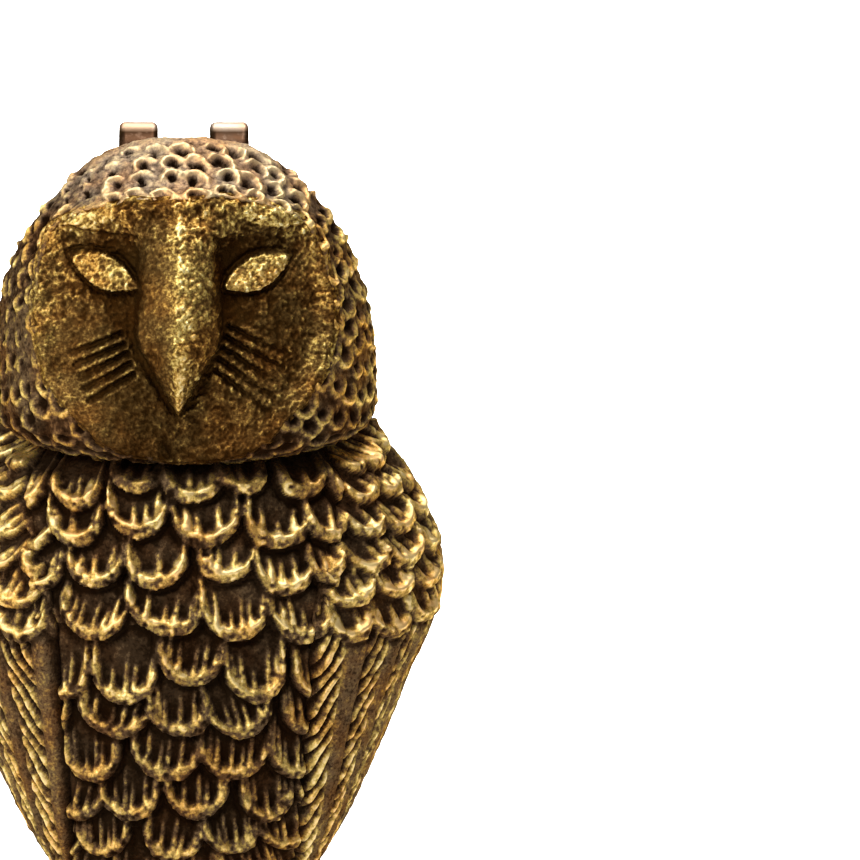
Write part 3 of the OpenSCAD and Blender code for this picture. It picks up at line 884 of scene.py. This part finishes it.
def metal(name, stops, rough, grain=900.0, bump=0.25, tone=None, height_tint_and_painted_light=None, coarse=0.70, fineness=0.85):
    """Aged brass. stops are colours from the recesses to the rubbed high points, rough its roughness on the
    high points and in the recesses, tone one level for a plain piece, and the height band a tint between two
    heights, weighted towards the higher levels: painted light on the crown's top, and painted shade with the
    plate's own darker brown low on the hinge ears."""
    material = bpy.data.materials.new(name)
    material.use_nodes = True
    nodes, links = material.node_tree.nodes, material.node_tree.links

    def wire(node, values):
        """Set each input to its value, or link it to its socket."""
        for field, value in values.items():
            if isinstance(value, bpy.types.NodeSocket):
                links.new(value, node.inputs[field])
            else:
                node.inputs[field].default_value = value

    def add(kind, output, values, **settings):
        """The named output of a new node."""
        node = nodes.new("ShaderNode" + kind)
        for setting, value in settings.items():
            setattr(node, setting, value)
        wire(node, values)
        return node.outputs[output]

    def noise_node(scale, detail, roughness):
        return add("TexNoise", "Fac",
                   {"Vector": place, "Scale": scale, "Detail": detail, "Roughness": roughness})

    def math_node(kind, a, b, clamp=False):
        return add("Math", "Value", {0: a, 1: b}, operation=kind, use_clamp=clamp)

    def map_range(value, low=0.0, high=1.0, to_low=0.0, to_high=1.0):
        return add("MapRange", "Result", {"Value": value, "From Min": low, "From Max": high, "To Min": to_low,
                                          "To Max": to_high})

    def mix_node(kind, factor, colour, tint):
        return add("Mix", "Result", {"Factor": factor, "A": colour, "B": (*tint, 1)}, data_type="RGBA",
                   blend_type=kind)

    def swing(field, amount):
        """A noise field brought to either side of 0."""
        return math_node("MULTIPLY", math_node("SUBTRACT", field, 0.5), amount)

    place = add("TexCoord", "Object", {})
    fine, mottle = noise_node(2.8 * grain, 2.0, 0.6), noise_node(grain, 3.0, 0.65)
    if tone is None:
        level = add("Attribute", "Fac", {}, attribute_name="tone")
    else:
        level = math_node("ADD", 0.0, tone)
    scatter = math_node("MULTIPLY", math_node("ADD", swing(mottle, coarse), swing(fine, fineness)),
                        map_range(level, high=0.45, to_low=0.30))
    drift = swing(noise_node(90.0, 3.0, 0.55), 0.35)
    level = math_node("ADD", level, math_node("ADD", scatter, drift), clamp=True)
    ramp = nodes.new("ShaderNodeValToRGB")
    ramp.color_ramp.interpolation = "EASE"
    while len(ramp.color_ramp.elements) < len(stops):
        ramp.color_ramp.elements.new(0.5)
    for element, (position, colour) in zip(ramp.color_ramp.elements, stops):
        element.position = position
        element.color = (*colour, 1)
    links.new(level, ramp.inputs["Fac"])
    colour = ramp.outputs["Color"]
    # The height band mixes a tint into the higher levels between two heights: painted light on the crown's top,
    # painted shade low on the hinge ears.
    if height_tint_and_painted_light:
        tint, low, high, amount = height_tint_and_painted_light
        height = add("SeparateXYZ", "Z", {"Vector": place})
        rise = map_range(height, low * MM, high * MM, to_high=amount)
        high_only = math_node("MULTIPLY", level, 1.6, clamp=True)
        colour = mix_node("MIX", math_node("MULTIPLY", rise, high_only), colour, tint)
    patches = map_range(noise_node(150.0, 3.0, 0.6), 0.42, 0.62)
    relief = {"Strength": bump, "Distance": BUMP_DEPTH * MM, "Height": math_node("ADD", fine, mottle)}
    wire(nodes["Principled BSDF"],
         {"Metallic": 1.0, "Specular IOR Level": 0.5, "Specular Tint": (*SHEEN, 1),
          "Base Color": mix_node("MULTIPLY", patches, colour, PATINA),
          "Roughness": map_range(level, to_low=rough[1], to_high=rough[0]),
          "Normal": add("Bump", "Normal", relief)})
    return material


FEATHER_STOPS = [(0.0, (0.024, 0.013, 0.006)), (0.16, (0.062, 0.037, 0.019)), (0.36, (0.165, 0.106, 0.054)),
                 (0.56, (0.38, 0.262, 0.078)), (0.78, (0.74, 0.54, 0.165)), (1.0, (0.97, 0.76, 0.35))]
FACE_STOPS = [(0.0, (0.038, 0.018, 0.004)), (0.20, (0.080, 0.043, 0.012)), (0.40, (0.165, 0.098, 0.028)),
              (0.60, (0.40, 0.27, 0.068)), (0.82, (0.80, 0.61, 0.20)), (1.0, (1.0, 0.88, 0.46))]
PLAIN_STOPS = [(0.0, (0.035, 0.018, 0.011)), (0.35, (0.17, 0.098, 0.060)), (0.65, (0.66, 0.54, 0.43)),
               (1.0, (0.85, 0.74, 0.62))]
WORN_STOPS = [(0.0, (0.08, 0.045, 0.02)), (0.35, (0.28, 0.17, 0.06)), (0.7, (0.60, 0.42, 0.17)),
              (1.0, (0.92, 0.74, 0.40))]


def give(obj, material):
    obj.data.materials.clear()
    obj.data.materials.append(material)
    obj.data.polygons.foreach_set("material_index", np.zeros(len(obj.data.polygons), dtype=np.int32))


# ---- stage, light and camera

def stage_set():
    """A wide, flat, pale floor a little below the tail."""
    floor_z, reach = -69.5, 4000
    corners = [(-reach, -reach), (reach, -reach), (reach, reach), (-reach, reach)]
    obj = new_object("stage_floor", [(x, y, floor_z) for x, y in corners], [[0, 1, 2, 3]])
    material = bpy.data.materials.new("stage_paper")
    material.use_nodes = True
    paper = material.node_tree.nodes["Principled BSDF"].inputs
    paper["Base Color"].default_value = (0.93, 0.93, 0.93, 1)
    paper["Roughness"].default_value = 0.9
    give(obj, material)


def softbox(name, place, target, size, power, colour=(1, 1, 1), spread=180):
    light = bpy.data.lights.new(name, "AREA")
    light.shape = "RECTANGLE"
    light.size, light.size_y = size[0] * MM, size[1] * MM
    light.energy = power
    light.spread = math.radians(spread)
    light.color = colour
    aimed(light, place, target)


def aimed(data, place, target):
    """A light or camera at place, pointed at target."""
    obj = bpy.data.objects.new(data.name, data)
    bpy.context.scene.collection.objects.link(obj)
    place, target = Vector(place) * MM, Vector(target) * MM
    obj.location = place
    obj.rotation_euler = (target - place).to_track_quat("-Z", "Y").to_euler()
    return obj


def lights():
    world = bpy.data.worlds.new("studio")
    bpy.context.scene.world = world
    world.use_nodes = True
    background = world.node_tree.nodes["Background"].inputs
    background["Color"].default_value = (1.0, 0.97, 0.93, 1)
    background["Strength"].default_value = 0.26
    middle = (0, -20, 10)
    softbox("key", (-280, -430, 390), middle, (150, 110), 1.60, (1.0, 0.96, 0.90))
    softbox("top", (70, -100, 520), middle, (300, 160), 1.8, (1.0, 0.95, 0.93))
    softbox("left", (-460, -160, 120), middle, (200, 260), 0.8)
    softbox("rim", (0, 360, 420), (0, -6, 60), (420, 140), 1.3)
    softbox("near_floor", (60, 340, 560), (60, 345, -60), (500, 110), 5.5, spread=62)
    softbox("far_floor", (60, 900, 900), (60, 900, -60), (900, 500), 26.0, spread=76)
    bpy.context.scene.view_settings.view_transform = "Standard"


VIEW_ELEVATION = math.radians(13)
VIEW_WIDTH = 119.2  # width of the view at the owl, in mm
VIEW_DISTANCE = 760.0
VIEW_CENTRE = (34.05, -25.0, 26.05)
VIEW_ROLL = 0.0088  # the camera's small tilt about its own axis, in radians


def camera():
    data = bpy.data.cameras.new("camera")
    data.sensor_width = 36.0
    data.lens = data.sensor_width * VIEW_DISTANCE / VIEW_WIDTH
    data.clip_start, data.clip_end = 0.01, 10.0
    _, cy, cz = VIEW_CENTRE
    place = (0, cy - VIEW_DISTANCE * math.cos(VIEW_ELEVATION), cz + VIEW_DISTANCE * math.sin(VIEW_ELEVATION))
    obj = aimed(data, place, VIEW_CENTRE)
    obj.rotation_euler.rotate_axis("Z", VIEW_ROLL)
    bpy.context.scene.camera = obj


# ---- the whole knocker

def build():
    # feather_brass's height band is a pale tint on the crown's top: painted light from above.
    feather_brass = metal("feather_brass", FEATHER_STOPS, rough=(0.47, 0.78),
                          height_tint_and_painted_light=((0.72, 0.60, 0.47), 53, 60, 0.52))
    face_brass = metal("face_brass", FACE_STOPS, rough=(0.38, 0.65), bump=0.9, coarse=0.30, fineness=1.3)
    cast_brass = metal("cast_brass", PLAIN_STOPS, rough=(0.45, 0.65), bump=0.4)
    # plain_brass's height band is painted shade on the hinge ears' lower part under the crown, and the plate's
    # own darker brown below them.
    plain_brass = metal("plain_brass", PLAIN_STOPS, rough=(0.36, 0.52), grain=600, bump=0.10, tone=0.62,
                        coarse=0.40, fineness=0.30, height_tint_and_painted_light=((0.036, 0.018, 0.008), 65.65, 65.1, 0.96))
    worn_brass = metal("worn_brass", WORN_STOPS, rough=(0.22, 0.42), grain=700, bump=0.08, tone=0.62,
                       coarse=0.35, fineness=0.25)
    body = [(cast_body(), cast_brass), (breast(), feather_brass), (wing(1), feather_brass),
            (wing(-1), feather_brass), (cowl(), feather_brass), (face(), face_brass), (tail(), feather_brass)]
    for piece, material in body:
        give(piece, material)
        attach(piece, "owl")
        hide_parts("owl_casting")
    for piece, node in ((foot(-1), "left_foot"), (foot(1), "right_foot"), (perch(), "perch")):
        give(piece, feather_brass)
        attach(piece, "owl")
        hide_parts(node)
    give(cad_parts["back_plate"], plain_brass)
    for node in ("hinge_tongue", "hinge_pin", "left_washer", "right_washer", "striker", "anvil"):
        give(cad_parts[node], worn_brass)


camera()
lights()
stage_set()
build()
